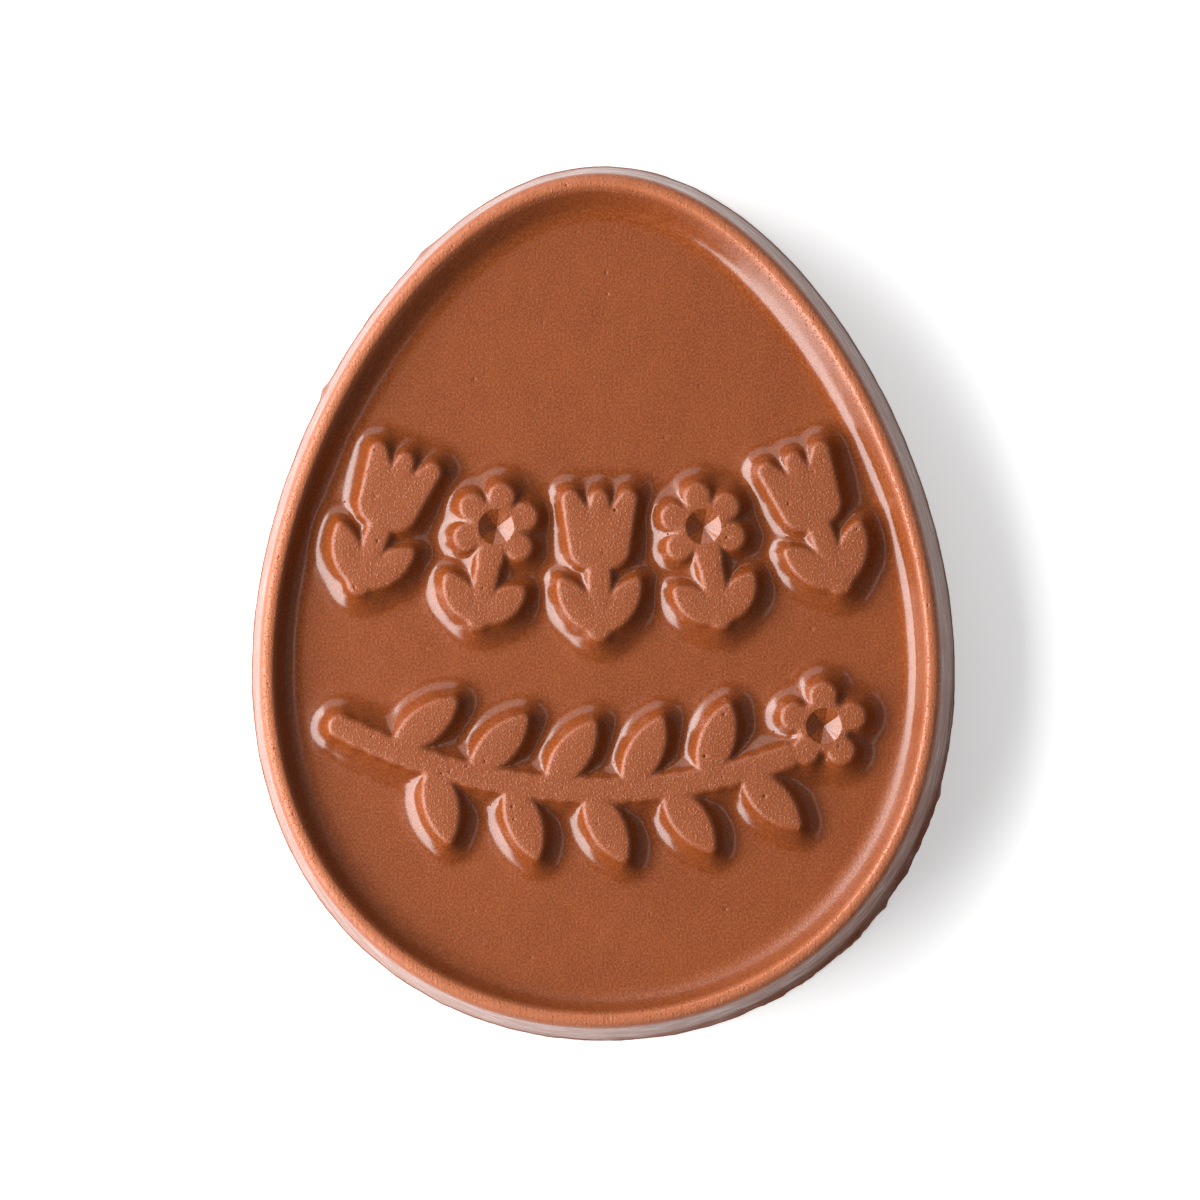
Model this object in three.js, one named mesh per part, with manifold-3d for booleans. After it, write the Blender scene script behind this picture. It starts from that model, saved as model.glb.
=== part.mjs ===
// Chocolate egg: a flat, egg-shaped plaque of solid milk chocolate, cast in one piece in an open mould.
// A rounded rim runs round a sunken face. The face carries two raised bands of spring decoration:
// an upper row of tulips and daisies, and a lower leafy branch that ends in a blossom.
//
// Millimetres. The plaque lies on its flat back with its face up (+Z) and its pointed end towards +Y.
// The origin is on the plane of the back, at the middle of the plaque's box.

import * as THREE from 'three';
import { LoftGeometry } from 'three/addons/geometries/LoftGeometry.js';
import { mergeVertices } from 'three/addons/utils/BufferGeometryUtils.js';
import Module from 'manifold-3d';

// ---- Driving dimensions ----

const EGG_LENGTH = 80;        // pointed end to blunt end
const EGG_HALF_WIDTH = 31.75; // at mid length; the blunt half swells a little past it
const EGG_TAPER = 0.165;      // share by which the pointed end is slimmer and the blunt end fuller
const THICKNESS = 8.65;       // back to the crown of the rim
const FACE_DEPTH = 2.05;      // crown of the rim down to the sunken face
const EGG_POINTS = 96;        // points round the outline

// Section of the rim, measured inwards from the edge of the back.
const BACK_ROUND = 0.35;      // rounding where the back meets the outer wall
const WALL_LEAN = 1.3;        // draft of the outer wall, from back to shoulder
const SHOULDER = 0.9;         // size of the rounded outer shoulder
const SHOULDER_CORNER = 0.15; // how far in the corner that the shoulder rounds off lies, as a share
const CROWN_WIDTH = 0.3;      // narrow flat along the top of the rim
const INNER_ARRIS = 0.15;     // worn edge above the inner wall
const INNER_LEAN = 0.95;      // draft of the inner wall
const TIP_LEAN = 0.55;        // how much more it leans round the pointed end
const TIP_RANGE = [0.1, 0.8]; // where it starts to lean more and is done, as shares of half the length
const FILLET_WIDTH = 1.7;     // hollow between the inner wall and the face
const FILLET_HEIGHT = 0.6;
const FILLET_CORNER = 0.44;   // how far out the corner that the hollow rounds off lies, as a share

// Raised decoration.
const RELIEF_HEIGHT = 1.6;    // face to the flat tops
const RELIEF_WALL = 0.75;     // how far the steep wall spreads before its hollow foot
const RELIEF_WALL_FOOT = 0.74; // height of the hollow foot above the face
const RELIEF_SPREAD = 2.35;   // how far the hollow foot spreads in all
const RELIEF_ROOT = 0.2;      // depth to which a foot runs on below the face

// The bands sag like smiles: height of a band's middle line = level + sag * x * x.
const UPPER_LEVEL = 3.4;
const UPPER_SAG = 0.0098;
const UPPER_SPACING = 9.8;    // flower to flower
const UPPER_COUNT = 5;
const LOWER_LEVEL = -17.2;
const LOWER_SAG = 0.0105;

// Flowers, in the frame of one flower: +V towards the bloom, origin at mid height.
const STEM_RADIUS = 0.95;
const STEM_FOOT = -6;
const STEM_HEAD = 0.5;
const FLOWER_LEAF_ROOT = [0.2, -6.3];
const FLOWER_LEAF_HALF_WIDTH = 1.25;
const TULIP_LEAF_TIP = [3.55, -1.6];
const TULIP_CUP_RADIUS = 1.8;
const TULIP_CUP_HEIGHT = 1.35;
const TULIP_TIP_RADIUS = 0.7;
const TULIP_TIP_HEIGHT = 5.7;
const TULIP_CUP_SPREAD = 0.85;
const TULIP_TIP_SPREAD = 2.6;
const DAISY_LEAF_TIP = [3.55, -2.8];
const DAISY_CENTRE = 2.3;
const DAISY_PETALS = 6;
const DAISY_DISC_RADIUS = 2.2;
const DAISY_PETAL_ROOT = [1.5, 0.9];  // distance from the centre, radius there
const DAISY_PETAL_TIP = [2.75, 1.1];

// Branch of the lower band, with the blossom at its right-hand end.
const BRANCH_START = -23.5;
const BRANCH_END = 17;
const BRANCH_RADIUS = 0.9;
const BRANCH_STEPS = 12;
const BRANCH_LEAF_LENGTH = 7.2;
const BRANCH_LEAF_HALF_WIDTH = 1.5;
const BRANCH_LEAF_ANGLE = THREE.MathUtils.degToRad(60);
const BRANCH_LEAF_FIRST = -18.6;
const BRANCH_LEAF_STEP = 3.5; // from a leaf above to the next one below
const BRANCH_LEAVES = 10;
const BLOSSOM = [20.2, -11.4];
const BLOSSOM_PETALS = 5;

// Faceted countersinks in the middles of the daisies and of the blossom.
const PIT_RADIUS = 1.6;
const PIT_DEPTH = 1;
const PIT_FACETS = 8;
const PIT_TURN = THREE.MathUtils.degToRad(-10);
const PIT_CLEARANCE = 0.5;    // how far the cutting cone runs on above the flat top

const LEAF_TIP_RADIUS = 0.35;
const ROUND_POINTS = 14;      // points round a stroke or a disc
const LEAF_TIP_POINTS = 3;
const LEAF_SIDE_POINTS = 4;

const CURVE_STEPS = 3;        // steps along each rounded stretch of the rim's section
const MERGE_DISTANCE = 1e-4;  // corners of one body that lie closer than this are one
const FACE_Z = THICKNESS - FACE_DEPTH;
const CROWN_INSET = WALL_LEAN + SHOULDER;
const ARRIS_INSET = CROWN_INSET + CROWN_WIDTH + INNER_ARRIS;
const RELIEF_Z = FACE_Z + RELIEF_HEIGHT;

const wasm = await Module();
wasm.setup();

// ---- Joining and cutting ----

function toSolid(shape) {
  const geometry = new THREE.BufferGeometry().copy(shape);
  geometry.deleteAttribute('normal');
  geometry.deleteAttribute('uv');
  const merged = mergeVertices(geometry, MERGE_DISTANCE);
  return new wasm.Manifold(new wasm.Mesh({
    numProp: 3,
    vertProperties: merged.attributes.position.array,
    triVerts: new Uint32Array(merged.index.array),
  }));
}

function toGeometry(solid) {
  const mesh = solid.getMesh();
  const geometry = new THREE.BufferGeometry();
  geometry.setAttribute('position', new THREE.BufferAttribute(mesh.vertProperties, mesh.numProp));
  geometry.setIndex(new THREE.BufferAttribute(mesh.triVerts, 1));
  geometry.computeVertexNormals();
  return geometry;
}

// ---- Plaque ----

// Egg outline moved inwards by `inset` along its normal, counter-clockwise from +X.
// Round the pointed end it moves inwards by `tipInset` more.
function eggOutline(inset, tipInset = 0) {
  const points = [];
  for (let i = 0; i < EGG_POINTS; i++) {
    const turn = (i / EGG_POINTS) * 2 * Math.PI;
    const across = Math.cos(turn);
    const along = Math.sin(turn);
    const taper = 1 - EGG_TAPER * along;
    const point = new THREE.Vector2(EGG_HALF_WIDTH * across * taper, (EGG_LENGTH / 2) * along);
    const slopeX = -EGG_HALF_WIDTH * (along * taper + EGG_TAPER * across * across);
    const slopeY = (EGG_LENGTH / 2) * across;
    const inward = new THREE.Vector2(-slopeY, slopeX).normalize();
    const atTip = THREE.MathUtils.smoothstep(along, ...TIP_RANGE);
    points.push(point.addScaledVector(inward, inset + tipInset * atTip));
  }
  return points;
}

// Closed body lofted through copies of one outline: each station is an offset of it and a height.
function loft(outline, stations) {
  const rings = stations.map((station) =>
    outline(station.x).map((p) => new THREE.Vector3(p.x, p.y, station.y)));
  return new LoftGeometry(rings, { capStart: true, capEnd: true });
}

// Outside of the plaque: flat back, drafted outer wall, round shoulder and flat top.
function blank() {
  const side = new THREE.Path();
  side.moveTo(BACK_ROUND, 0);
  side.lineTo(0, BACK_ROUND);
  side.lineTo(WALL_LEAN, THICKNESS - SHOULDER);
  side.quadraticCurveTo(WALL_LEAN + SHOULDER_CORNER * SHOULDER, THICKNESS, CROWN_INSET, THICKNESS);
  return toSolid(loft((inset) => eggOutline(inset), side.getPoints(CURVE_STEPS)));
}

// Outline of the hollow, whose wall leans more round the pointed end.
function hollowOutline(inset) {
  const downWall = THREE.MathUtils.clamp((inset - ARRIS_INSET) / INNER_LEAN, 0, 1);
  return eggOutline(inset, TIP_LEAN * downWall);
}

// Hollow above the face, cut from the blank: face, fillet, drafted inner wall and worn arris.
function hollow() {
  const footInset = ARRIS_INSET + INNER_LEAN;
  const side = new THREE.Path();
  side.moveTo(footInset + FILLET_WIDTH, FACE_Z);
  side.quadraticCurveTo(footInset + FILLET_CORNER * FILLET_WIDTH, FACE_Z, footInset, FACE_Z + FILLET_HEIGHT);
  side.lineTo(ARRIS_INSET, THICKNESS - INNER_ARRIS);
  side.lineTo(ARRIS_INSET - 2 * INNER_ARRIS, THICKNESS + INNER_ARRIS);
  return toSolid(loft(hollowOutline, side.getPoints(CURVE_STEPS)));
}

// ---- Raised shapes ----
// Each outline is a function of `grow`, the distance by which the shape is widened all round.

// Round stroke between two discs, which may differ in radius.
function stroke([ax, ay], radiusA, [bx, by], radiusB) {
  const length = Math.hypot(bx - ax, by - ay);
  const heading = Math.atan2(by - ay, bx - ax);
  return (grow) => {
    const points = [];
    for (let i = 0; i < ROUND_POINTS; i++) {
      const turn = ((i + 0.5) / ROUND_POINTS) * 2 * Math.PI;
      const atEnd = length * Math.cos(turn) > radiusA - radiusB;
      const radius = (atEnd ? radiusB : radiusA) + grow;
      const x = (atEnd ? bx : ax) + radius * Math.cos(heading + turn);
      const y = (atEnd ? by : ay) + radius * Math.sin(heading + turn);
      points.push(new THREE.Vector2(x, y));
    }
    return points;
  };
}

// Leaf between a root and a tip: two equal arcs whose ends are rounded off.
function leaf([ax, ay], [bx, by], halfWidth) {
  const reach = Math.hypot(bx - ax, by - ay) / 2 - LEAF_TIP_RADIUS;
  const rise = halfWidth - LEAF_TIP_RADIUS;
  const arcRadius = (reach * reach + rise * rise) / (2 * rise);
  const tipTurn = Math.acos(reach / arcRadius);
  const middle = new THREE.Vector2((ax + bx) / 2, (ay + by) / 2);
  const heading = Math.atan2(by - ay, bx - ax);
  return (grow) => {
    const points = [];
    const tip = (side) => {
      for (let i = 0; i < LEAF_TIP_POINTS; i++) {
        const turn = tipTurn * ((2 * i) / (LEAF_TIP_POINTS - 1) - 1) + (side < 0 ? Math.PI : 0);
        const radius = LEAF_TIP_RADIUS + grow;
        points.push(new THREE.Vector2(side * reach + radius * Math.cos(turn), radius * Math.sin(turn)));
      }
    };
    const flank = (side) => {
      for (let i = 1; i <= LEAF_SIDE_POINTS; i++) {
        const swing = tipTurn + ((Math.PI - 2 * tipTurn) * i) / (LEAF_SIDE_POINTS + 1);
        const radius = arcRadius + LEAF_TIP_RADIUS + grow;
        const x = side * radius * Math.cos(swing);
        const y = side * (radius * Math.sin(swing) - (arcRadius - rise));
        points.push(new THREE.Vector2(x, y));
      }
    };
    tip(1);
    flank(1);
    tip(-1);
    flank(-1);
    return points.map((p) => p.rotateAround(new THREE.Vector2(), heading).add(middle));
  };
}

// Ribbon of even width along the lower band's middle line.
function branch() {
  return (grow) => {
    const radius = BRANCH_RADIUS + grow;
    const below = [];
    const above = [];
    for (let i = 0; i <= BRANCH_STEPS; i++) {
      const x = THREE.MathUtils.lerp(BRANCH_START, BRANCH_END, i / BRANCH_STEPS);
      const spot = new THREE.Vector2(x, bandHeight(LOWER_LEVEL, LOWER_SAG, x));
      const up = new THREE.Vector2(-2 * LOWER_SAG * x, 1).normalize();
      below.push(spot.clone().addScaledVector(up, -radius));
      above.unshift(spot.clone().addScaledVector(up, radius));
    }
    return [...below, ...above];
  };
}

// Raised body over an outline: flat top, steep drafted wall and a hollow foot that runs into the face.
function mound(outline) {
  return loft(outline, [
    new THREE.Vector2(RELIEF_SPREAD, FACE_Z - RELIEF_ROOT),
    new THREE.Vector2(RELIEF_WALL, FACE_Z + RELIEF_WALL_FOOT),
    new THREE.Vector2(0, RELIEF_Z),
  ]);
}

// ---- Motifs ----

function flowerStem(leafTip) {
  const outlines = [stroke([0, STEM_HEAD], STEM_RADIUS, [0, STEM_FOOT], STEM_RADIUS)];
  for (const side of [-1, 1]) {
    const root = [side * FLOWER_LEAF_ROOT[0], FLOWER_LEAF_ROOT[1]];
    outlines.push(leaf(root, [side * leafTip[0], leafTip[1]], FLOWER_LEAF_HALF_WIDTH));
  }
  return outlines;
}

function tulip() {
  const outlines = flowerStem(TULIP_LEAF_TIP);
  for (const side of [-1, 0, 1]) {
    const cup = [side * TULIP_CUP_SPREAD, TULIP_CUP_HEIGHT];
    const tip = [side * TULIP_TIP_SPREAD, TULIP_TIP_HEIGHT];
    outlines.push(stroke(cup, TULIP_CUP_RADIUS, tip, TULIP_TIP_RADIUS));
  }
  return outlines;
}

function rosette([centreX, centreY], petals) {
  const outlines = [stroke([centreX, centreY], DAISY_DISC_RADIUS, [centreX, centreY], DAISY_DISC_RADIUS)];
  for (let i = 0; i < petals; i++) {
    const turn = (i / petals) * 2 * Math.PI + Math.PI / 2;
    const place = (distance) => [centreX + distance * Math.cos(turn), centreY + distance * Math.sin(turn)];
    const [rootDistance, rootRadius] = DAISY_PETAL_ROOT;
    const [tipDistance, tipRadius] = DAISY_PETAL_TIP;
    outlines.push(stroke(place(rootDistance), rootRadius, place(tipDistance), tipRadius));
  }
  return outlines;
}

function daisy() {
  return [...flowerStem(DAISY_LEAF_TIP), ...rosette([0, DAISY_CENTRE], DAISY_PETALS)];
}

// Faceted countersink with its point down, cut a little past the flat top.
function pit([x, y]) {
  const height = PIT_DEPTH + PIT_CLEARANCE;
  const cone = new THREE.ConeGeometry((PIT_RADIUS * height) / PIT_DEPTH, height, PIT_FACETS);
  cone.rotateX(-Math.PI / 2);
  cone.rotateZ(PIT_TURN);
  cone.translate(x, y, RELIEF_Z - PIT_DEPTH + height / 2);
  return toSolid(cone);
}

function bandHeight(level, sag, x) {
  return level + sag * x * x;
}

// ---- Bands ----

// Tulips and daisies in turn, each leaning with the band.
function upperBand() {
  const mounds = [];
  const pits = [];
  for (let i = 0; i < UPPER_COUNT; i++) {
    const x = (i - (UPPER_COUNT - 1) / 2) * UPPER_SPACING;
    const y = bandHeight(UPPER_LEVEL, UPPER_SAG, x);
    const lean = Math.atan(2 * UPPER_SAG * x);
    const isDaisy = i % 2 === 1;
    for (const outline of isDaisy ? daisy() : tulip()) {
      mounds.push(toSolid(mound(outline).rotateZ(lean).translate(x, y, 0)));
    }
    if (isDaisy) {
      pits.push(pit([x - DAISY_CENTRE * Math.sin(lean), y + DAISY_CENTRE * Math.cos(lean)]));
    }
  }
  return { mounds, pits };
}

// Branch with leaves on both sides in turn, and the blossom at its end.
function lowerBand() {
  const outlines = [branch(), ...rosette(BLOSSOM, BLOSSOM_PETALS)];
  for (let i = 0; i < BRANCH_LEAVES; i++) {
    const side = i % 2 === 0 ? 1 : -1;
    const x = BRANCH_LEAF_FIRST + i * BRANCH_LEAF_STEP;
    const y = bandHeight(LOWER_LEVEL, LOWER_SAG, x);
    const heading = Math.atan(2 * LOWER_SAG * x) + side * BRANCH_LEAF_ANGLE;
    const tip = [x + BRANCH_LEAF_LENGTH * Math.cos(heading), y + BRANCH_LEAF_LENGTH * Math.sin(heading)];
    outlines.push(leaf([x, y], tip, BRANCH_LEAF_HALF_WIDTH));
  }
  return { mounds: outlines.map((outline) => toSolid(mound(outline))), pits: [pit(BLOSSOM)] };
}

// ---- Assembly ----

function chocolateEgg() {
  const bands = [upperBand(), lowerBand()];
  let solid = blank().subtract(hollow());
  for (const mound of bands.flatMap((band) => band.mounds)) {
    solid = solid.add(mound);
  }
  for (const cut of bands.flatMap((band) => band.pits)) {
    solid = solid.subtract(cut);
  }
  const milkChocolate = new THREE.MeshStandardMaterial({ color: 0x9a5431, roughness: 0.35, metalness: 0 });
  const mesh = new THREE.Mesh(toGeometry(solid), milkChocolate);
  mesh.name = 'chocolate_egg';
  return mesh;
}

const model = new THREE.Group();
model.add(chocolateEgg());

export default model;
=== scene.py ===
"""Chocolate egg: a flat, egg-shaped plaque of solid milk chocolate with a raised rim and spring flowers.

Everything is worked out in millimetres and handed to Blender in metres. The plaque lies on its flat back,
its face up (+Z) and its pointed end towards +Y.
"""

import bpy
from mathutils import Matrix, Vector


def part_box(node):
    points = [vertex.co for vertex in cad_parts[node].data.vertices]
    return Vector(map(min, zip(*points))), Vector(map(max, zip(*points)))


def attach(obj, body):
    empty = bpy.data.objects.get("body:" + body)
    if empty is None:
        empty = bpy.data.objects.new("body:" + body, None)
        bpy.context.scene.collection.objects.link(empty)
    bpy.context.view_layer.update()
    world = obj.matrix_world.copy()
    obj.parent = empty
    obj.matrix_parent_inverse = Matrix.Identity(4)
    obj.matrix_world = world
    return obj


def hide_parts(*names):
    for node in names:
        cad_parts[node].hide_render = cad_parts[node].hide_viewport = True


bl_info = {
    "name": "Chocolate Egg",
    "version": (1, 0, 0),
    "blender": (4, 5, 0),
    "location": "View3D > Sidebar > Chocolate Egg",
    "description": "Casts a flat milk chocolate egg with a raised rim and spring flowers, and sets its stage",
    "category": "Add Mesh",
}

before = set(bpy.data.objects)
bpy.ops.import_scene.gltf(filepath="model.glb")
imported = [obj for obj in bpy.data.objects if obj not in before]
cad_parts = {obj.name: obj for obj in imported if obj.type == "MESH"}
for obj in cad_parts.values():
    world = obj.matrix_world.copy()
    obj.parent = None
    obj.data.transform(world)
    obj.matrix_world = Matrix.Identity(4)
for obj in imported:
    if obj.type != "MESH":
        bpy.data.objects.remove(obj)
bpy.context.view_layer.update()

import math

import bpy
import numpy as np
from bpy.props import FloatProperty, FloatVectorProperty, IntProperty, PointerProperty
from mathutils import Matrix, Vector, geometry

MM = 0.001
EGG_NODE = "chocolate_egg"
EGG_LOW, EGG_HIGH = (np.array(corner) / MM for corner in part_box(EGG_NODE))
EGG_WIDTH, EGG_LENGTH, EGG_THICKNESS = EGG_HIGH - EGG_LOW

# ---- Sizes of the mould, in millimetres, as the solid part has them ----

# How far in the corners lie that the shoulder and the hollow round off, as shares of their widths.
SHOULDER_CORNER = 0.15
FILLET_CORNER = 0.44
SHOULDER_STEPS, ARRIS_STEPS, WALL_STEPS, FILLET_STEPS = 8, 4, 3, 9  # rows of the mesh along each
WIDTH_SAMPLES = 721                    # turns at which the egg's width is looked at to find its widest spot
TIP_RANGE = (0.1, 0.8)                 # where the inner wall starts to lean more and is done, along the egg

# Flowers, each in its own frame: up is towards the bloom, and the origin is at mid height.
STEM_RADIUS = 0.95
STEM_SPAN = (0.5, -6.0)
FLOWER_LEAF_ROOT = (0.2, -6.3)
FLOWER_LEAF_HALF_WIDTH = 1.25
TULIP_LEAF_TIP = (3.55, -1.6)
TULIP_CUP = (0.85, 1.35, 1.8)          # sideways step, height, radius
TULIP_TIP = (2.6, 5.7, 0.7)
DAISY_LEAF_TIP = (3.55, -2.8)
DAISY_CENTRE = 2.3
DAISY_PETALS = 6
DAISY_DISC_RADIUS = 2.2
DAISY_PETAL_ROOT = (1.5, 0.9)          # distance from the middle, radius there
DAISY_PETAL_TIP = (2.75, 1.1)
FLOWER_PLACES = range(-2, 3)           # places along the upper band, counted from its middle
LEAF_TIP_RADIUS = 0.35

BRANCH_SPAN = (-23.5, 17.0)
BRANCH_RADIUS = 0.9
BRANCH_STEPS = 24
BRANCH_LEAF_LENGTH = 7.2
BRANCH_LEAF_HALF_WIDTH = 1.5
BRANCH_LEAF_ANGLE = math.radians(60)
BRANCH_LEAF_FIRST = -18.6
BRANCH_LEAF_STEP = 3.5                 # from a leaf above to the next one below
BRANCH_LEAVES = 10
BLOSSOM = (20.2, -11.4)
BLOSSOM_PETALS = 5

VALLEY_REACH = (0.3, 1.2)              # how far from the tops the corners' rounding gives way to the valleys'
STEEPEST_FOOT = 0.999                  # a wall's foot ends this share of its radius out, short of upright

PIT_RADIUS = 1.6
PIT_RIM = 0.12                         # worn edge round a pit
PIT_DEPTH = 1.0
PIT_FACETS = 8
PIT_TURN = math.radians(-10)

# ---- Traces of casting, in millimetres ----

# Bubbles that burst at the mould: how many, smallest and largest radius.
PINHOLES = {"top": (30, 0.07, 0.15), "crown": (18, 0.06, 0.12), "face": (14, 0.05, 0.1)}
PINHOLE_TRIES = 6000
PINHOLE_DEPTHS = (0.7, 1.2)            # least and greatest depth, as shares of the radius
PINHOLE_MARGIN = 0.25                  # least distance inside a top's edge, and greatest from the crown
PINHOLE_FACE_MARGINS = (0.5, 0.3)      # least distance on the face from the rim and from the relief
# Unevenness of the cast skin: wavelength and height.
SKIN_WAVES = ((9.0, 0.012), (2.6, 0.006))
SKIN_ALLOWANCE = 0.03                  # the crown stays this far below the top of the solid part
WAVE_SPREAD = (0.7, 1.5)               # shortest and longest wave, as shares of the wavelength

# The poured side overran the mould and left a ragged lip, thickest at this bearing in degrees from +X.
LIP_BEARING, LIP_SPREAD = -50.0, 27.0
LIP_REACH, LIP_HEIGHT = 0.2, 1.5
LIP_STEP = 0.35                        # height over which the wall steps out to the lip
LIP_UNDERCUT = 0.15                    # how far the wall above the lip draws back
LIP_WAVES = ((2.4, 0.03), (0.9, 0.025))  # wavelength and height of the lip's raggedness
LIP_LEAST_RAGGED = 0.3                 # share of that raggedness away from the overrun
# Single burrs on that lip: bearing in degrees, width along the edge and reach.
BURRS = ((117.0, 1.6, 0.25), (142.5, 1.3, 0.3), (-30.0, 0.8, 0.12), (-38.0, 1.0, 0.18), (-47.0, 0.7, 0.14),
         (-52.0, 1.6, 0.16), (-66.0, 0.9, 0.14), (-112.0, 1.0, 0.1))
BURR_LEVEL, BURR_HALF_HEIGHT = 0.6, 0.9
FLASH_HEIGHT, FLASH_REACH = 0.45, 0.08  # thin flash all round at the level of the pour
FLASH_ROWS = (0.8, 0.6, 0.3, 0.0)      # rows of the mesh below the flash, as shares of its height
WALL_START = 0.6                       # how far below the shoulder the traces on the wall are in full
WALL_SWELL, WALL_SWELL_LENGTH = 0.015, 4.0
LIP_SWELL = 2.0                        # how many times more the wall swells at the overrun
BACK_HOLLOW = 0.12                     # the poured back sinks a little as it sets
BACK_HOLLOW_REACH = (1.0, 9.0)
BACK_WAVE, BACK_WAVE_LENGTH = 0.5, 11.0  # unevenness of that hollow, as a share of its depth
LIP_SEED, WALL_SEED, BACK_SEED = 5, 9, 12  # added to the seed, for waves of their own

# ---- Finish of the skin, with reaches in millimetres ----

FINISHES = ("rubbed", "polished", "poured", "deepened_and_shaded")
# Rubbed: the crown, from outside its start to past the arris, and faintly the tops. The lighter colour laid
# there is partly real rubbing and partly a painted sheen.
CROWN_RUB_START, CROWN_RUB_END = (-1.1, -0.2), (-0.1, 0.35)
TOP_RUB, TOP_RUB_END = 0.2, (-0.1, 0.3)
# Polished: the flowers' walls, the arris, and most of all the hollow round the face.
SLOPE_POLISH_START, SLOPE_POLISH_END = (0.1, 0.4), (-1.0, -0.1)
ARRIS_POLISH, ARRIS_POLISH_REACH = 0.8, 0.25
RIM_POLISH, INNER_WALL_POLISH, HOLLOW_POLISH = 0.35, 0.15, 0.5  # each is added to the one before
INNER_WALL_POLISH_START, HOLLOW_POLISH_START, HOLLOW_POLISH_END = (0.0, 0.3), (-0.5, 0.1), (-0.7, 0.2)
BLUNT_END_DULL = 0.9                   # how much less the mould polished the hollow round the blunt end
BLUNT_END_RANGE = (2, 22)              # where that starts and is done, towards -Y
# Deepened: how much darker the colour is on the smooth walls and hollows, from none to all: partly the deeper
# look of a smooth skin, partly painted shade.
RELIEF_DEEPENING_AND_SHADE, INNER_WALL_DEEPENING_AND_SHADE, OUTER_WALL_DEEPENING_AND_SHADE = 0.22, 0.15, 0.25
INNER_WALL_DEPTH_START, INNER_WALL_DEPTH_END = (-0.1, 0.2), (0.0, 0.5)
# Poured: the foot of the outer wall, and faintly the wall, which slid out of the mould and was dulled.
FOOT_POURED, WALL_POLISH, WALL_DRAG = 0.25, 0.95, 0.2

# ---- Fineness of the mesh, in millimetres ----

COLUMNS = 940                          # points round the rim
WALL_ROWS = 20                         # rows down the outer wall
CONTOUR_STEP = 0.2                     # point spacing along the edges of the flowers
FILL_STEP = 0.45                       # point spacing on the flats
VALLEY_STEP = 0.22                     # point spacing where the feet of two walls meet
VALLEY_STEEPNESS = 0.85                # the distance to the tops grows more slowly than this in a valley
BACK_STEP = 1.2
GRID_STEP = 0.14
# Lines of equal height on the flowers: distances from the edge of the tops, and shares of wall and foot.
TOP_LINES = (-0.75, -0.45, -0.28, -0.17, -0.07, 0.03, 0.13, 0.25)
SLOPE_LINES = (0.7, 1.0)
FOOT_LINES = (0.1, 0.2, 0.32, 0.46, 0.62, 0.8, 1.0)
SHORTEST_LINE = 4                      # in points
FILL_CLEARANCES = (0.15, 0.25)         # from the innermost and the outermost line
RIM_CLEARANCE, BACK_CLEARANCE = 0.12, 1.6
HOLE_RINGS = ((0.55, 6), (0.99, 10), (1.2, 10))  # share of a pinhole's radius, and points
HOLE_CLEARANCE = 1.45                  # as a share of a pinhole's radius
PIT_POINTS = 4 * PIT_FACETS
INSIDE_BORDER = 1                      # the triangulation's mode that gives triangles inside a border
MERGE_DISTANCE = 1e-6
FAR = 50.0                             # farther and higher than anything on the plaque

# ---- Milk chocolate, with sizes in millimetres ----

CLOUD_SIZE = 7.0                       # it cooled a little sooner or later from place to place
GRAIN_SIZE = 0.2                       # cocoa and sugar grains are 0.02 mm, too fine to show: drawn coarser
MARK_SIZE, MARK_TURN = (0.2, 3.0, 3.0), 0.15  # marks of the mould's polishing on the flats
DRAG_SIZE = (3.0, 3.0, 0.6)            # marks of sliding out of the mould on the drafted wall
# Values of each pattern between which its trace comes in, and how strong it gets.
CLOUD_RANGE, CLOUD_SHARE = (0.36, 0.64), 0.6
GRAIN_RANGE, GRAIN_SHARE = (0.38, 0.72), 0.75
SCUFF_RANGE, SCUFF_SHARES = (0.3, 0.7), (0.75, 1.1)
SPECK_RANGE, DRAG_RANGE = (0.57, 0.7), (0.42, 0.68)
# Roughness: how far the grain breaks up the polish, and what rubbing and dragging add.
GRAIN_IN_POLISH, POLISH_RANGE = -0.2, (0.1, 0.75)
RUBBED_ROUGHNESS, DRAGGED_ROUGHNESS = 0.08, 0.7
# True heights of the relief that is too fine for the mesh.
GRAIN_HEIGHT, MARK_HEIGHT, SPECK_HEIGHT, DRAG_HEIGHT = 0.035, 0.03, 0.05, 0.07
GRAIN_SUNK_AT, GRAIN_LEFT = 0.6, 0.06  # polish at which the grain has sunk into the skin, and what is left
BARED_AT = 0.3                         # rubbing that lays the specks bare
# Cocoa butter has an index of 1.46, and light soaks a little way into it, red light farthest.
COCOA_BUTTER_IOR = 1.46
SOAK_SHARE, SOAK_DEPTH, SOAK_COLOURS = 0.12, 0.6, (1.0, 0.4, 0.2)

# ---- Stage, in metres and degrees ----

# Each light: bearing from +X, height, distance, width and height of its face, share of the key light's power.
LIGHTS = {
    "key_light": (183, 30, 0.45, (0.66, 0.33), 1.0),
    "right_card": (8, 25, 0.8, (0.8, 0.5), 0.025),
    "right_strip": (8, 56, 0.8, (0.8, 0.1), 0.06),
    "far_card": (128, 34, 0.8, (1.0, 0.43), 0.38),
}
TABLE_SIZE = 4.0
SENSOR_WIDTH = 36.0                    # millimetres
LENS_SHIFT = (-0.001, 0.001)


def millimetres(name, description, value):
    """A length that shows in the panel, given in millimetres."""
    return FloatProperty(name=name, description=description, default=value * MM, precision=5, unit="LENGTH")


def linear(value):
    """An sRGB hex value such as 0x9A5431 as linear red, green, blue and an alpha of one."""
    channels = [((value >> shift) & 255) / 255 for shift in (16, 8, 0)]
    return tuple(c / 12.92 if c <= 0.04045 else ((c + 0.055) / 1.055) ** 2.4 for c in channels) + (1.0,)


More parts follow.
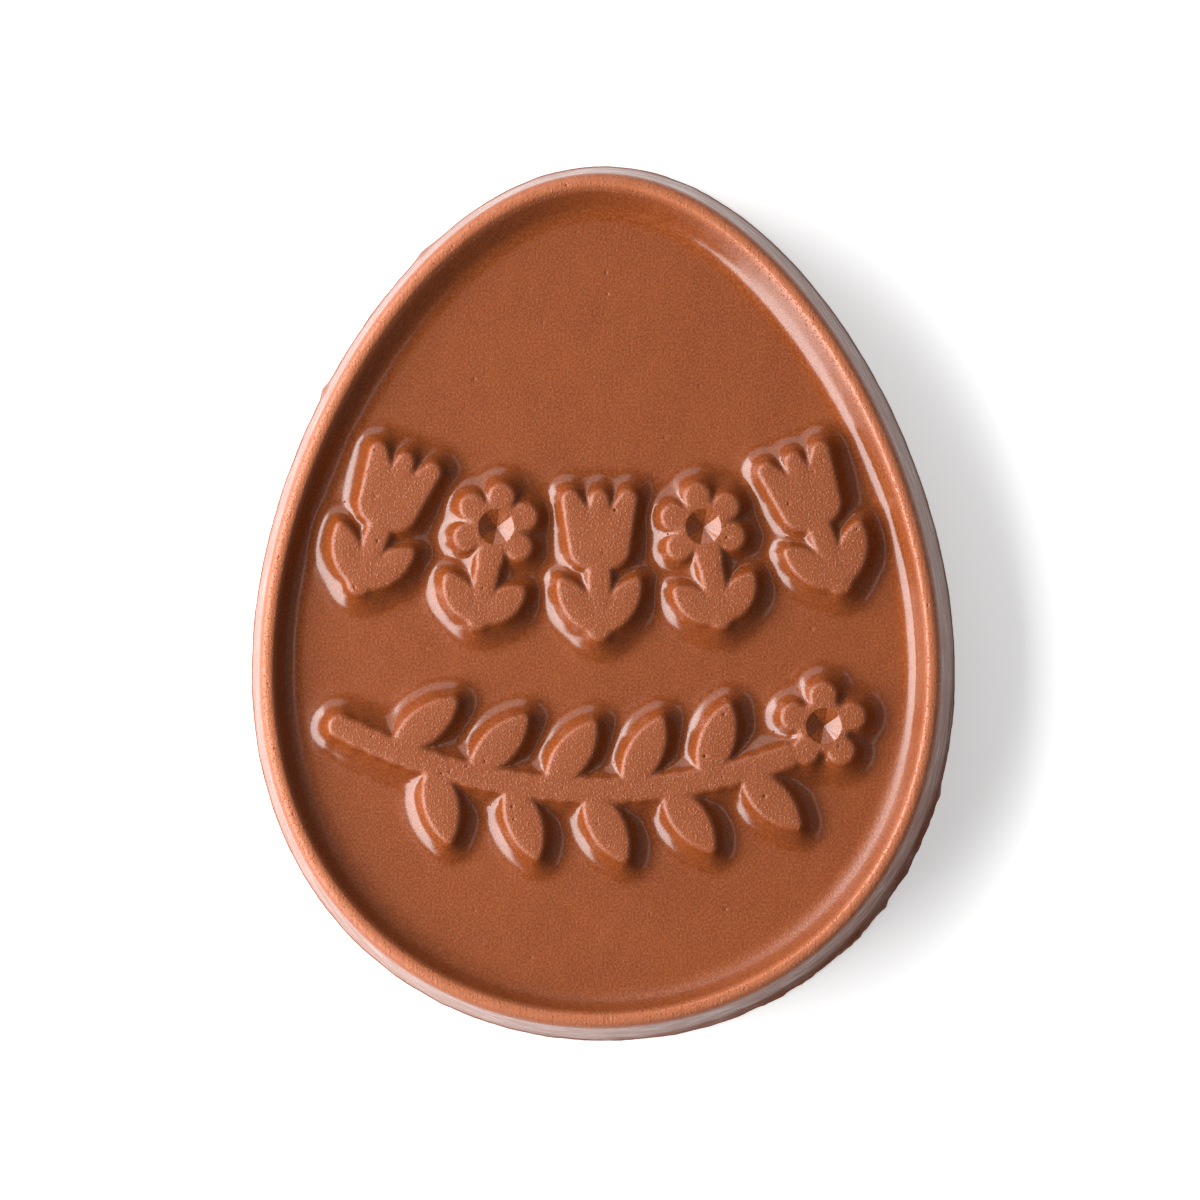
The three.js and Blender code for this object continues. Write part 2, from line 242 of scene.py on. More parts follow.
def hex_colour(name, description, value):
    """A colour that shows in the panel, given as an sRGB hex value."""
    return FloatVectorProperty(name=name, description=description, default=linear(value), size=4,
                               min=0.0, max=1.0, subtype="COLOR")


def factor(name, description, value):
    """A share between nothing and one that shows in the panel."""
    return FloatProperty(name=name, description=description, default=value, min=0.0, max=1.0,
                         subtype="FACTOR")


class RimSizes(bpy.types.PropertyGroup):
    """Section of the plaque's edge, measured inwards from the edge of the back."""
    taper: factor("Taper", "How much slimmer the pointed end is than the blunt end", 0.165)
    back_round: millimetres("Back rounding", "Rounding where the back meets the outer wall", 0.35)
    wall_lean: millimetres("Wall lean", "Draft of the outer wall from back to shoulder", 1.3)
    shoulder: millimetres("Shoulder", "Size of the rounded outer shoulder", 0.9)
    crown: millimetres("Crown", "Narrow flat along the top of the rim", 0.3)
    arris: millimetres("Arris", "Worn edge above the inner wall", 0.15)
    inner_lean: millimetres("Inner lean", "Draft of the inner wall", 0.95)
    tip_lean: millimetres("Tip lean", "How much more the inner wall leans round the pointed end", 0.55)
    fillet_width: millimetres("Fillet width", "Hollow between the inner wall and the face", 1.7)
    fillet_height: millimetres("Fillet height", "Height of that hollow above the face", 0.6)
    face_depth: millimetres("Face depth", "Crown of the rim down to the sunken face", 2.05)


class ReliefSizes(bpy.types.PropertyGroup):
    """The raised flowers and the branch."""
    height: millimetres("Height", "Face to the flat tops of the flowers", 1.6)
    wall_angle: FloatProperty(name="Wall angle", description="Slope of the steep walls", subtype="ANGLE",
                              default=math.radians(50), min=0.3, max=1.5)
    foot_radius: millimetres("Foot radius", "Radius of the hollow foot of each wall", 2.8)
    arris: millimetres("Arris", "Rounding of the edge round the tops", 0.25)
    dome: millimetres("Dome", "How much lower the tops are at their edges", 0.06)
    dome_reach: millimetres("Dome reach", "How far in from the edge the tops fall away", 0.5)
    join: millimetres("Join", "Rounding of the corners where strokes meet", 0.3)
    valley: millimetres("Valley", "Rounding of the valleys between neighbouring feet", 0.9)
    upper_level: millimetres("Upper level", "Middle of the upper band", 3.4)
    upper_sag: FloatProperty(name="Upper sag", description="Bend of the upper band, per millimetre",
                             default=0.0098, precision=4)
    upper_spacing: millimetres("Flower spacing", "Distance from flower to flower", 9.8)
    lower_level: millimetres("Lower level", "Middle of the lower band", -17.2)
    lower_sag: FloatProperty(name="Lower sag", description="Bend of the lower band, per millimetre",
                             default=0.0105, precision=4)


class ChocolateLook(bpy.types.PropertyGroup):
    """Colours and finish of the chocolate."""
    body: hex_colour("Milk chocolate", "Colour of the cast chocolate", 0x763815)
    light: hex_colour("Grain", "Colour of the lighter grains", 0x954F26)
    # Painted sheen: this rubbed colour is lighter partly from real rubbing and partly to stand in for the
    # crown's sheen.
    rubbed_colour_and_sheen: hex_colour("Rubbed chocolate", "Colour where the high spots are rubbed", 0xA35D3A)
    # Painted shade: this darker colour on the smooth walls and hollows is partly the deeper look of a smooth
    # skin.
    glossy: hex_colour("Glossy chocolate", "Colour where the skin is smooth and shines", 0x4A1E0B)
    deep: hex_colour("Deep chocolate", "Colour of the darker mottling", 0x6A2F12)
    satin: factor("Satin", "Roughness of the face and the tops", 0.40)
    polish: factor("Polish", "Roughness of the walls and hollows", 0.19)
    seed: IntProperty(name="Seed", description="Places of the pinholes and waves", default=7)


class StageSettings(bpy.types.PropertyGroup):
    """Floor, lights and camera."""
    floor: hex_colour("Floor", "Colour of the table", 0xE1E1E1)
    glow: factor("Glow", "Brightness of the table's own light", 0.42)
    key_power: FloatProperty(name="Key light", description="Power of the large light on the left",
                             default=7.5, min=0.0, unit="POWER")
    room: factor("Room", "Brightness of the room all round", 0.15)
    camera_distance: FloatProperty(name="Camera distance", description="Lens to the plaque", default=0.6,
                                   min=0.1, unit="LENGTH")
    lean_right: FloatProperty(name="Lean right", description="Lean of the view towards +X",
                              default=math.radians(1.8), subtype="ANGLE")
    lean_down: FloatProperty(name="Lean down", description="Lean of the view towards the blunt end",
                             default=math.radians(1.8), subtype="ANGLE")
    framed_height: FloatProperty(name="Framed height", description="What the picture takes in at the plaque",
                                 default=0.109, min=0.01, unit="LENGTH")


# ---- Outline and section ----

def ease(value, low, high):
    """A smooth step from 0 at low to 1 at high."""
    share = np.clip((value - low) / (high - low), 0, 1)
    return share * share * (3 - 2 * share)


def ease_from(value, station, reach):
    """A smooth step between two distances from a station, the first giving 0 and the second 1."""
    return ease(value, station + reach[0], station + reach[1])


def outline_at(turn, taper):
    """Points of the egg's outline at turns from +X, and the slopes of the outline there."""
    across, along = np.cos(turn), np.sin(turn)
    fullness = 1 - taper * along
    all_round = np.linspace(0, 2 * math.pi, WIDTH_SAMPLES)
    widest = np.max(np.cos(all_round) * (1 - taper * np.sin(all_round)))
    half_width, half_length = EGG_WIDTH / 2 / widest, EGG_LENGTH / 2
    points = np.stack([half_width * across * fullness, half_length * along], axis=-1)
    slope_x = -half_width * (along * fullness + taper * across * across)
    return points, np.stack([slope_x, half_length * across], axis=-1)


def at_tip(turn):
    """How far round the pointed end a turn is, from none to all."""
    return ease(np.sin(turn), *TIP_RANGE)


def egg_outline(count, taper, inset=0.0, tip_inset=0.0):
    """Points of the egg moved inwards by inset, and by tip_inset more round the pointed end, and the normals.

    They run anticlockwise from +X, and the normals point outwards.
    """
    turn = np.arange(count) * (2 * math.pi / count)
    points, slopes = outline_at(turn, taper)
    normals = np.stack([slopes[:, 1], -slopes[:, 0]], axis=1)
    normals /= np.linalg.norm(normals, axis=1)[:, None]
    return points - (inset + tip_inset * at_tip(turn))[:, None] * normals, normals


def inset_of(points, taper, rounds=12):
    """Distance of each point inside the egg's outline, found by walking along it to the nearest spot.

    Also gives the turn of that spot.
    """
    turn = np.arctan2(points[:, 1] * EGG_WIDTH, points[:, 0] * EGG_LENGTH)
    for _ in range(rounds):
        edge, slopes = outline_at(turn, taper)
        turn = turn + np.sum((points - edge) * slopes, axis=1) / np.sum(slopes * slopes, axis=1)
    edge, slopes = outline_at(turn, taper)
    away = (edge - points) * np.stack([slopes[:, 1], -slopes[:, 0]], axis=1)
    return np.sum(away, axis=1) / np.linalg.norm(slopes, axis=1), turn


def curve_steps(start, corner, end, steps):
    """Points along a quadratic curve from start towards corner and on to end, without its start."""
    share = (np.arange(steps) + 1)[:, None] / steps
    start, corner, end = np.array(start), np.array(corner), np.array(end)
    return (1 - share) ** 2 * start + 2 * share * (1 - share) * corner + share ** 2 * end


def rim_section(rim):
    """Stations of the rim from the foot of the shoulder to the face: inset and height above the back."""
    lean, shoulder, worn = rim.wall_lean / MM, rim.shoulder / MM, rim.arris / MM
    crown_start = lean + shoulder
    crown_end = crown_start + rim.crown / MM
    arris = crown_end + worn
    foot = arris + rim.inner_lean / MM
    top = EGG_THICKNESS - SKIN_ALLOWANCE
    face_z = EGG_THICKNESS - rim.face_depth / MM
    foot_z = face_z + rim.fillet_height / MM
    fillet = rim.fillet_width / MM
    return np.concatenate([
        [[lean, top - shoulder]],
        curve_steps((lean, top - shoulder), (lean + SHOULDER_CORNER * shoulder, top), (crown_start, top),
                    SHOULDER_STEPS),
        curve_steps((crown_start, top), (crown_end, top), (arris, top - worn), ARRIS_STEPS),
        curve_steps((arris, top - worn), ((arris + foot) / 2, (top - worn + foot_z) / 2), (foot, foot_z),
                    WALL_STEPS),
        curve_steps((foot, foot_z), (foot + FILLET_CORNER * fillet, face_z), (foot + fillet, face_z),
                    FILLET_STEPS),
    ])


# ---- Raised shapes ----

def stroke(x, y, shape):
    """Distance to a round stroke between two discs of different radius."""
    (ax, ay), radius_a, (bx, by), radius_b = shape
    length = math.hypot(bx - ax, by - ay)
    if length <= abs(radius_a - radius_b):
        return np.hypot(x - ax, y - ay) - radius_a
    ux, uy = (bx - ax) / length, (by - ay) / length
    along = (x - ax) * ux + (y - ay) * uy
    aside = np.abs((x - ax) * uy - (y - ay) * ux)
    sine = (radius_a - radius_b) / length
    cosine = math.sqrt(1 - sine * sine)
    reach = along * cosine - aside * sine
    near_a = np.hypot(aside, along) - radius_a
    near_b = np.hypot(aside, along - length) - radius_b
    between = aside * cosine + along * sine - radius_a
    return np.where(reach < 0, near_a, np.where(reach > cosine * length, near_b, between))


def leaf(x, y, shape):
    """Distance to a leaf: two equal arcs from root to tip, with rounded ends."""
    (ax, ay), (bx, by), half_width = shape
    length = math.hypot(bx - ax, by - ay)
    reach = length / 2 - LEAF_TIP_RADIUS
    rise = half_width - LEAF_TIP_RADIUS
    radius = (reach * reach + rise * rise) / (2 * rise)
    ux, uy = (bx - ax) / length, (by - ay) / length
    mx, my = x - (ax + bx) / 2, y - (ay + by) / 2
    along = np.abs(mx * ux + my * uy)
    aside = np.abs(mx * uy - my * ux)
    beyond_tip = (along - reach) * (radius - rise) > aside * reach
    round_tip = np.hypot(along - reach, aside)
    on_arc = np.hypot(along, aside + radius - rise) - radius
    return np.where(beyond_tip, round_tip, on_arc) - LEAF_TIP_RADIUS


def flower_stem(leaf_tip):
    """Stem and its two leaves."""
    shapes = [(stroke, ((0, STEM_SPAN[0]), STEM_RADIUS, (0, STEM_SPAN[1]), STEM_RADIUS))]
    for side in (-1, 1):
        root = (side * FLOWER_LEAF_ROOT[0], FLOWER_LEAF_ROOT[1])
        shapes.append((leaf, (root, (side * leaf_tip[0], leaf_tip[1]), FLOWER_LEAF_HALF_WIDTH)))
    return shapes


def tulip():
    """Three petals on a stem."""
    shapes = flower_stem(TULIP_LEAF_TIP)
    for side in (-1, 0, 1):
        cup, tip = (side * TULIP_CUP[0], TULIP_CUP[1]), (side * TULIP_TIP[0], TULIP_TIP[1])
        shapes.append((stroke, (cup, TULIP_CUP[2], tip, TULIP_TIP[2])))
    return shapes


def rosette(centre, petals):
    """A disc with round petals."""
    shapes = [(stroke, (centre, DAISY_DISC_RADIUS, centre, DAISY_DISC_RADIUS))]
    for index in range(petals):
        turn = index / petals * 2 * math.pi + math.pi / 2
        root, tip = [(centre[0] + reach * math.cos(turn), centre[1] + reach * math.sin(turn))
                     for reach in (DAISY_PETAL_ROOT[0], DAISY_PETAL_TIP[0])]
        shapes.append((stroke, (root, DAISY_PETAL_ROOT[1], tip, DAISY_PETAL_TIP[1])))
    return shapes


def placed(shapes, x, y, lean):
    """The same shapes turned by lean and moved to a spot on the face."""
    cosine, sine = math.cos(lean), math.sin(lean)

    def move(value):
        if not isinstance(value, tuple):
            return value
        across, up = value
        return (x + across * cosine - up * sine, y + across * sine + up * cosine)
    return [(kind, tuple(move(value) for value in shape)) for kind, shape in shapes]


def upper_band(sizes):
    """Tulips and daisies in turn along the upper line, and the middles of the daisies."""
    shapes, pits = [], []
    level, sag = sizes.upper_level / MM, sizes.upper_sag
    for place in FLOWER_PLACES:
        x = place * sizes.upper_spacing / MM
        y = level + sag * x * x
        lean = math.atan(2 * sag * x)
        if place % 2:
            flower = flower_stem(DAISY_LEAF_TIP) + rosette((0, DAISY_CENTRE), DAISY_PETALS)
            pits.append((x - DAISY_CENTRE * math.sin(lean), y + DAISY_CENTRE * math.cos(lean)))
        else:
            flower = tulip()
        shapes += placed(flower, x, y, lean)
    return shapes, pits


def lower_band(sizes):
    """The branch with its leaves in turn above and below, and the blossom at its end."""
    level, sag = sizes.lower_level / MM, sizes.lower_sag
    spots = [(x, level + sag * x * x) for x in np.linspace(*BRANCH_SPAN, BRANCH_STEPS + 1)]
    shapes = [(stroke, (a, BRANCH_RADIUS, b, BRANCH_RADIUS)) for a, b in zip(spots, spots[1:])]
    for index in range(BRANCH_LEAVES):
        x = BRANCH_LEAF_FIRST + index * BRANCH_LEAF_STEP
        y = level + sag * x * x
        heading = math.atan(2 * sag * x) + (-1) ** index * BRANCH_LEAF_ANGLE
        tip = (x + BRANCH_LEAF_LENGTH * math.cos(heading), y + BRANCH_LEAF_LENGTH * math.sin(heading))
        shapes.append((leaf, ((x, y), tip, BRANCH_LEAF_HALF_WIDTH)))
    return shapes + rosette(BLOSSOM, BLOSSOM_PETALS), [BLOSSOM]


def soft_min(a, b, blend):
    """The smaller of two values, rounded where they meet."""
    share = np.clip(0.5 + 0.5 * (b - a) / blend, 0, 1)
    return b * (1 - share) + a * share - blend * share * (1 - share)


class Relief:
    """The raised bands as a height over the face."""

    def __init__(self, sizes):
        upper, upper_pits = upper_band(sizes)
        lower, lower_pits = lower_band(sizes)
        self.shapes = upper + lower
        self.pits = upper_pits + lower_pits
        self.height = sizes.height / MM
        self.slope = math.tan(sizes.wall_angle)
        self.radius = sizes.foot_radius / MM
        self.arris = sizes.arris / MM
        self.dome = sizes.dome / MM
        self.dome_reach = sizes.dome_reach / MM
        self.join = sizes.join / MM
        self.valley = sizes.valley / MM
        foot_height = self.radius * (1 - math.cos(sizes.wall_angle))
        self.wall = (self.height - foot_height) / self.slope
        self.spread = self.wall + self.radius * math.sin(sizes.wall_angle)

    def distance(self, x, y):
        """Distance outside the edge of the flat tops. Far from the edge the valleys are rounded more."""
        crisp = np.full(x.shape, FAR)
        soft = np.full(x.shape, FAR)
        for kind, shape in self.shapes:
            gap = kind(x, y, shape)
            crisp = soft_min(crisp, gap, self.join)
            soft = soft_min(soft, gap, self.valley)
        share = ease(crisp, *VALLEY_REACH)
        return crisp * (1 - share) + soft * share

    def rise(self, gap):
        """Height over the face at a distance from the edge of the flat tops."""
        wall = self.height - gap * self.slope
        short = np.clip(self.spread - gap, 0, self.radius * STEEPEST_FOOT)
        foot = self.radius - np.sqrt(self.radius ** 2 - short ** 2)
        top = self.height - self.dome * np.exp(np.minimum(gap, 0) / self.dome_reach)
        return soft_min(np.where(gap < self.wall, wall, foot), top, self.arris)

    def pit_height(self, x, y):
        """Height over the face in the faceted pits, and a large value away from them."""
        height = np.full(x.shape, FAR)
        facet = 2 * math.pi / PIT_FACETS
        for cx, cy in self.pits:
            turn = (np.arctan2(y - cy, x - cx) - PIT_TURN) % facet - facet / 2
            reach = np.hypot(x - cx, y - cy)
            cone = self.height - PIT_DEPTH * (1 - reach * np.cos(turn) / PIT_RADIUS)
            height = np.where(reach < PIT_RADIUS + PIT_RIM / 2, cone, height)
        return height


def waves(x, y, wavelength, seed, count=14):
    """A smooth uneven field between about -1 and 1, from plane waves in all directions."""
    rng = np.random.default_rng(seed)
    total = np.zeros(x.shape)
    for _ in range(count):
        heading = rng.uniform(0, 2 * math.pi)
        number = 2 * math.pi / (wavelength * rng.uniform(*WAVE_SPREAD))
        phase = rng.uniform(0, 2 * math.pi)
        total += np.sin(number * (x * math.cos(heading) + y * math.sin(heading)) + phase)
    return total / math.sqrt(count)


class Surface:
    """The plaque's upper side: its height and its finish at any point of its plan."""

    def __init__(self, rim, relief, seed):
        self.taper = rim.taper
        self.relief = relief
        self.section = rim_section(rim)
        self.face_z = EGG_THICKNESS - rim.face_depth / MM
        self.face_inset = self.section[-1, 0]
        self.crown = (rim.wall_lean + rim.shoulder) / MM
        self.arris = self.crown + (rim.crown + rim.arris) / MM
        self.inner_lean, self.tip_lean = rim.inner_lean / MM, rim.tip_lean / MM
        self.wall_foot = self.face_inset - rim.fillet_width / MM
        self.seed = seed
        self.holes = self.pinholes(np.random.default_rng(seed))

    def inset(self, points):
        """Station of the rim's section that each point is on, and past the rim its distance from the edge."""
        inset, turn = inset_of(points, self.taper)
        more = self.tip_lean * at_tip(turn)
        on_wall = self.arris + (inset - self.arris) * self.inner_lean / (self.inner_lean + more)
        past_wall = inset > self.arris + self.inner_lean + more
        return np.where(past_wall, inset - more, np.where(inset > self.arris, on_wall, inset))

    def ring(self, inset):
        """Points round the egg at a station of the rim's section."""
        down_wall = float(np.clip((inset - self.arris) / self.inner_lean, 0, 1))
        return egg_outline(COLUMNS, self.taper, inset, self.tip_lean * down_wall)[0]

    def places(self, points):
        """Which part of the upper side each point is on."""
        inset = self.inset(points)
        gap = self.relief.distance(points[:, 0], points[:, 1])
        near_pit = np.zeros(len(points), dtype=bool)
        for pit in self.relief.pits:
            near_pit |= np.linalg.norm(points - pit, axis=1) < PIT_RADIUS + 3 * PIT_RIM
        names = np.full(len(points), "edge", dtype=object)
        from_rim, from_relief = PINHOLE_FACE_MARGINS
        names[(inset > self.face_inset + from_rim) & (gap > self.relief.spread + from_relief)] = "face"
        names[(gap < -PINHOLE_MARGIN) & ~near_pit] = "top"
        names[np.abs(inset - self.crown) < PINHOLE_MARGIN] = "crown"
        return names

    def pinholes(self, rng):
        """Middles, radii and depths of the bubbles that burst at the mould's surface."""
        points = rng.uniform(EGG_LOW[:2], EGG_HIGH[:2], size=(PINHOLE_TRIES, 2))
        size, depth = rng.uniform(size=PINHOLE_TRIES), rng.uniform(*PINHOLE_DEPTHS, PINHOLE_TRIES)
        names = self.places(points)
        holes = []
        for name, (count, smallest, largest) in PINHOLES.items():
            for index in np.nonzero(names == name)[0][:count]:
                radius = smallest + (largest - smallest) * size[index] ** 2
                if all(math.dist(points[index], hole[:2]) > 2 * (radius + hole[2]) for hole in holes):
                    holes.append((*points[index], radius, radius * depth[index]))
        return holes

    def height(self, points):
        """Height above the back."""
        x, y = points[:, 0], points[:, 1]
        inset = self.inset(points)
        rim = np.interp(inset, self.section[:, 0], self.section[:, 1]) - self.face_z
        rise = self.relief.rise(self.relief.distance(x, y))
        height = rim + rise * np.clip(1 - rim / self.relief.height, 0, 1)
        for number, (wavelength, swing) in enumerate(SKIN_WAVES):
            height += swing * waves(x, y, wavelength, self.seed + number)
        height = np.minimum(height, self.relief.pit_height(x, y))
        for hx, hy, radius, depth in self.holes:
            reach = np.hypot(x - hx, y - hy) / radius
            height -= depth * np.sqrt(np.clip(1 - reach ** 2, 0, 1))
        return np.minimum(self.face_z + height, EGG_THICKNESS)

    def finish(self, points):
        """Shares of rubbed surface (partly a painted sheen), polished, poured, and darkened surface (partly
        painted shade).
        """
        inset = self.inset(points)
        gap = self.relief.distance(points[:, 0], points[:, 1])
        on_crown = ease_from(inset, self.crown, CROWN_RUB_START)
        on_crown *= 1 - ease_from(inset, self.arris, CROWN_RUB_END)
        on_top = TOP_RUB * (1 - ease(gap, *TOP_RUB_END))
        on_slope = ease(gap, *SLOPE_POLISH_START) * (1 - ease_from(gap, self.relief.spread, SLOPE_POLISH_END))
        on_hollow = 1 - ease_from(inset, self.face_inset, HOLLOW_POLISH_END)
        on_hollow *= (RIM_POLISH + INNER_WALL_POLISH * ease_from(inset, self.arris, INNER_WALL_POLISH_START)
                      + HOLLOW_POLISH * ease_from(inset, self.wall_foot, HOLLOW_POLISH_START))
        on_hollow *= 1 - BLUNT_END_DULL * ease(-points[:, 1], *BLUNT_END_RANGE)
        on_arris = ARRIS_POLISH * np.exp(-((inset - self.arris) / ARRIS_POLISH_REACH) ** 2)
        polished = np.maximum(on_slope, np.maximum(on_hollow, on_arris))
        # Painted shade on the rim's inner wall and the flowers' walls, partly the deeper look of their smooth
        # skin.
        on_inner_wall = ease_from(inset, self.arris, INNER_WALL_DEPTH_START)
        on_inner_wall *= 1 - ease_from(inset, self.wall_foot, INNER_WALL_DEPTH_END)
        deepened_and_shaded = np.maximum(RELIEF_DEEPENING_AND_SHADE * on_slope, INNER_WALL_DEEPENING_AND_SHADE * on_inner_wall)
        rubbed = np.maximum(on_crown, on_top)
        for pit in self.relief.pits:
            in_pit = 1 - ease(np.linalg.norm(points - pit, axis=1), PIT_RADIUS, PIT_RADIUS + PIT_RIM)
            polished, rubbed = np.maximum(polished, in_pit), rubbed * (1 - in_pit)
        return np.column_stack([rubbed, polished, np.zeros(len(points)), deepened_and_shaded])


# ---- Mesh ----

def contour_lines(field, xs, ys, level):
    """Lines along which a gridded field has the given level, each a list of points."""
    above = field > level
    row, column = np.nonzero(above[:, 1:] != above[:, :-1])
    share = (level - field[row, column]) / (field[row, column + 1] - field[row, column])
    spots = {(0, r, c): (xs[c] + s * (xs[1] - xs[0]), ys[r]) for r, c, s in zip(row, column, share)}
    row, column = np.nonzero(above[1:, :] != above[:-1, :])
    share = (level - field[row, column]) / (field[row + 1, column] - field[row, column])
    spots |= {(1, r, c): (xs[c], ys[r] + s * (ys[1] - ys[0])) for r, c, s in zip(row, column, share)}
    links = {key: [] for key in spots}
    cells = above[:-1, :-1].astype(int) + above[:-1, 1:] + above[1:, :-1] + above[1:, 1:]
    for r, c in zip(*np.nonzero((cells > 0) & (cells < 4))):
        sides = [key for key in ((0, r, c), (1, r, c + 1), (0, r + 1, c), (1, r, c)) if key in spots]
        if len(sides) == 4 and above[r, c] != (field[r:r + 2, c:c + 2].mean() > level):
            sides = sides[3:] + sides[:3]
        for a, b in zip(sides[::2], sides[1::2]):
            links[a].append(b)
            links[b].append(a)
    lines, seen = [], set()
    ends = [key for key in spots if len(links[key]) == 1]
    for start in ends + list(spots):
        if start in seen:
            continue
        line = [start]
        seen.add(start)
        while onward := [key for key in links[line[-1]] if key not in seen]:
            line.append(onward[0])
            seen.add(onward[0])
        closed = len(line) > 2 and start in links[line[-1]]
        lines.append((np.array([spots[key] for key in line]), closed))
    return lines


def evenly(points, closed, step):
    """The same line with evenly spaced points."""
    if closed:
        points = np.concatenate([points, points[:1]])
    lengths = np.concatenate([[0], np.cumsum(np.linalg.norm(np.diff(points, axis=0), axis=1))])
    count = max(int(round(lengths[-1] / step)), 3)
    at = np.linspace(0, lengths[-1], count + 1)
    if closed:
        at = at[:-1]
    return np.stack([np.interp(at, lengths, points[:, axis]) for axis in (0, 1)], axis=1)


def circle(centre, radius, count, start=0.0):
    """Evenly spaced points round a centre."""
    turn = start + np.arange(count) * (2 * math.pi / count)
    return np.stack([centre[0] + radius * np.cos(turn), centre[1] + radius * np.sin(turn)], axis=1)


def hex_grid(low, high, step):
    """Evenly spread points over a box."""
    across = np.arange(low[0], high[0], step)
    rows = np.arange(low[1], high[1], step * math.sqrt(3) / 2)
    return np.concatenate([np.stack([across + (index % 2) * step / 2, np.full(len(across), y)], axis=1)
                           for index, y in enumerate(rows)])


class Plan:
    """Points in the plane, with lines between them that the mesh has to keep."""

    def __init__(self):
        self.blocks, self.edges, self.count = [], [], 0

    def add(self, points, linked=False, closed=False):
        """Adds points, and links each to the next."""
        first = self.count
        self.blocks.append(points)
        self.count += len(points)
        if linked:
            last = self.count if closed else self.count - 1
            self.edges += [(i, first + (i + 1 - first) % len(points)) for i in range(first, last)]

    def triangles(self, border):
        """Points and triangles inside the border, which is the first points added, and where those went."""
        spots = [Vector(p) for p in np.concatenate(self.blocks)]
        made = geometry.delaunay_2d_cdt(spots, self.edges, [list(range(border))], INSIDE_BORDER,
                                        MERGE_DISTANCE, True)
        new_index = np.empty(self.count, dtype=int)
        for index, sources in enumerate(made[3]):
            new_index[sources] = index
        return np.array([tuple(p) for p in made[0]]), [tuple(face) for face in made[2]], new_index[:border]


class Body:
    """Vertices, faces and finish of the plaque, gathered part by part."""

    def __init__(self):
        self.blocks, self.finishes, self.faces, self.count = [], [], [], 0

    def add(self, points, finish):
        """Adds vertices with their finish, and gives their numbers."""
        first = self.count
        self.blocks.append(points)
        self.finishes.append(finish)
        self.count += len(points)
        return np.arange(first, self.count)

    def band(self, upper, lower):
        """Joins two rings of vertices with quads that face outwards."""
        ring = zip(upper, lower, np.roll(lower, -1), np.roll(upper, -1))
        self.faces += [tuple(map(int, quad)) for quad in ring]


def flower_points(plan, surface):
    """Adds the points of the face and the flowers: lines of equal height close together on the slopes."""
    relief = surface.relief
    xs = np.arange(EGG_LOW[0], EGG_HIGH[0], GRID_STEP)
    ys = np.arange(EGG_LOW[1], EGG_HIGH[1], GRID_STEP)
    field = relief.distance(*np.meshgrid(xs, ys))
    foot = relief.spread - relief.wall
    gaps = [*TOP_LINES, *(relief.wall * share for share in SLOPE_LINES)]
    gaps += [relief.wall + foot * share for share in FOOT_LINES]

    def clear(points):
        """Which points lie inside the face, away from pits and pinholes."""
        keep = surface.inset(points) > surface.face_inset + RIM_CLEARANCE
        for pit in relief.pits:
            keep &= np.linalg.norm(points - pit, axis=1) > PIT_RADIUS + 2 * PIT_RIM
        for x, y, radius, _ in surface.holes:
            keep &= np.hypot(points[:, 0] - x, points[:, 1] - y) > radius * HOLE_CLEARANCE
        return keep

    for gap in gaps:
        for line, closed in contour_lines(field, xs, ys, gap):
            if len(line) < SHORTEST_LINE:
                continue
            line = evenly(line, closed, CONTOUR_STEP)
            keep = clear(line)
            if closed and keep.all():
                plan.add(line, linked=True, closed=True)
                continue
            if closed:
                shift = int(np.argmin(keep))
                line, keep = np.roll(line, -shift, axis=0), np.roll(keep, -shift)
            for run in np.split(np.arange(len(line)), np.nonzero(np.diff(keep.astype(int)))[0] + 1):
                if keep[run[0]]:
                    plan.add(line[run], linked=True)
    fill = hex_grid(EGG_LOW[:2], EGG_HIGH[:2], FILL_STEP)
    gap = relief.distance(fill[:, 0], fill[:, 1])
    fill = fill[(gap < gaps[0] - FILL_CLEARANCES[0]) | (gap > gaps[-1] + FILL_CLEARANCES[1])]
    plan.add(fill[clear(fill)])
    valley = hex_grid(EGG_LOW[:2], EGG_HIGH[:2], VALLEY_STEP)
    x, y = valley[:, 0], valley[:, 1]
    gap = relief.distance(x, y)
    gain_x, gain_y = relief.distance(x + GRID_STEP, y) - gap, relief.distance(x, y + GRID_STEP) - gap
    steepness = np.hypot(gain_x, gain_y) / GRID_STEP
    valley = valley[(gap > relief.wall) & (gap < relief.spread) & (steepness < VALLEY_STEEPNESS)]
    plan.add(valley[clear(valley)])


def upper_side(body, surface):
    """Adds the plaque's upper side inside the foot of its shoulder, and gives its outermost ring."""
    plan = Plan()
    for inset, _ in surface.section:
        plan.add(surface.ring(inset), linked=True, closed=True)
    flower_points(plan, surface)
    for pit in surface.relief.pits:
        plan.add(circle(pit, PIT_RADIUS, PIT_POINTS, PIT_TURN), linked=True, closed=True)
        plan.add(circle(pit, PIT_RADIUS + PIT_RIM, PIT_POINTS, PIT_TURN), linked=True, closed=True)
        plan.add(np.array([pit]))
    for x, y, radius, _ in surface.holes:
        plan.add(np.array([[x, y]]))
        for share, sides in HOLE_RINGS:
            plan.add(circle((x, y), radius * share, sides))
    points, faces, ring = plan.triangles(COLUMNS)
    body.add(np.column_stack([points, surface.height(points)]), surface.finish(points))
    body.faces += faces
    return ring


def burrs_at(bearing, z):
    """How far the single burrs reach out at a height, for each bearing in degrees."""
    reach_out = np.zeros(len(bearing))
    for burr, width, reach in BURRS:
        away = np.radians((bearing - burr + 180) % 360 - 180) * EGG_WIDTH / 2
        reach_out += reach * np.exp(-(away / (width / 2)) ** 2)
    return reach_out * max(0.0, 1 - abs(z - BURR_LEVEL) / BURR_HALF_HEIGHT)


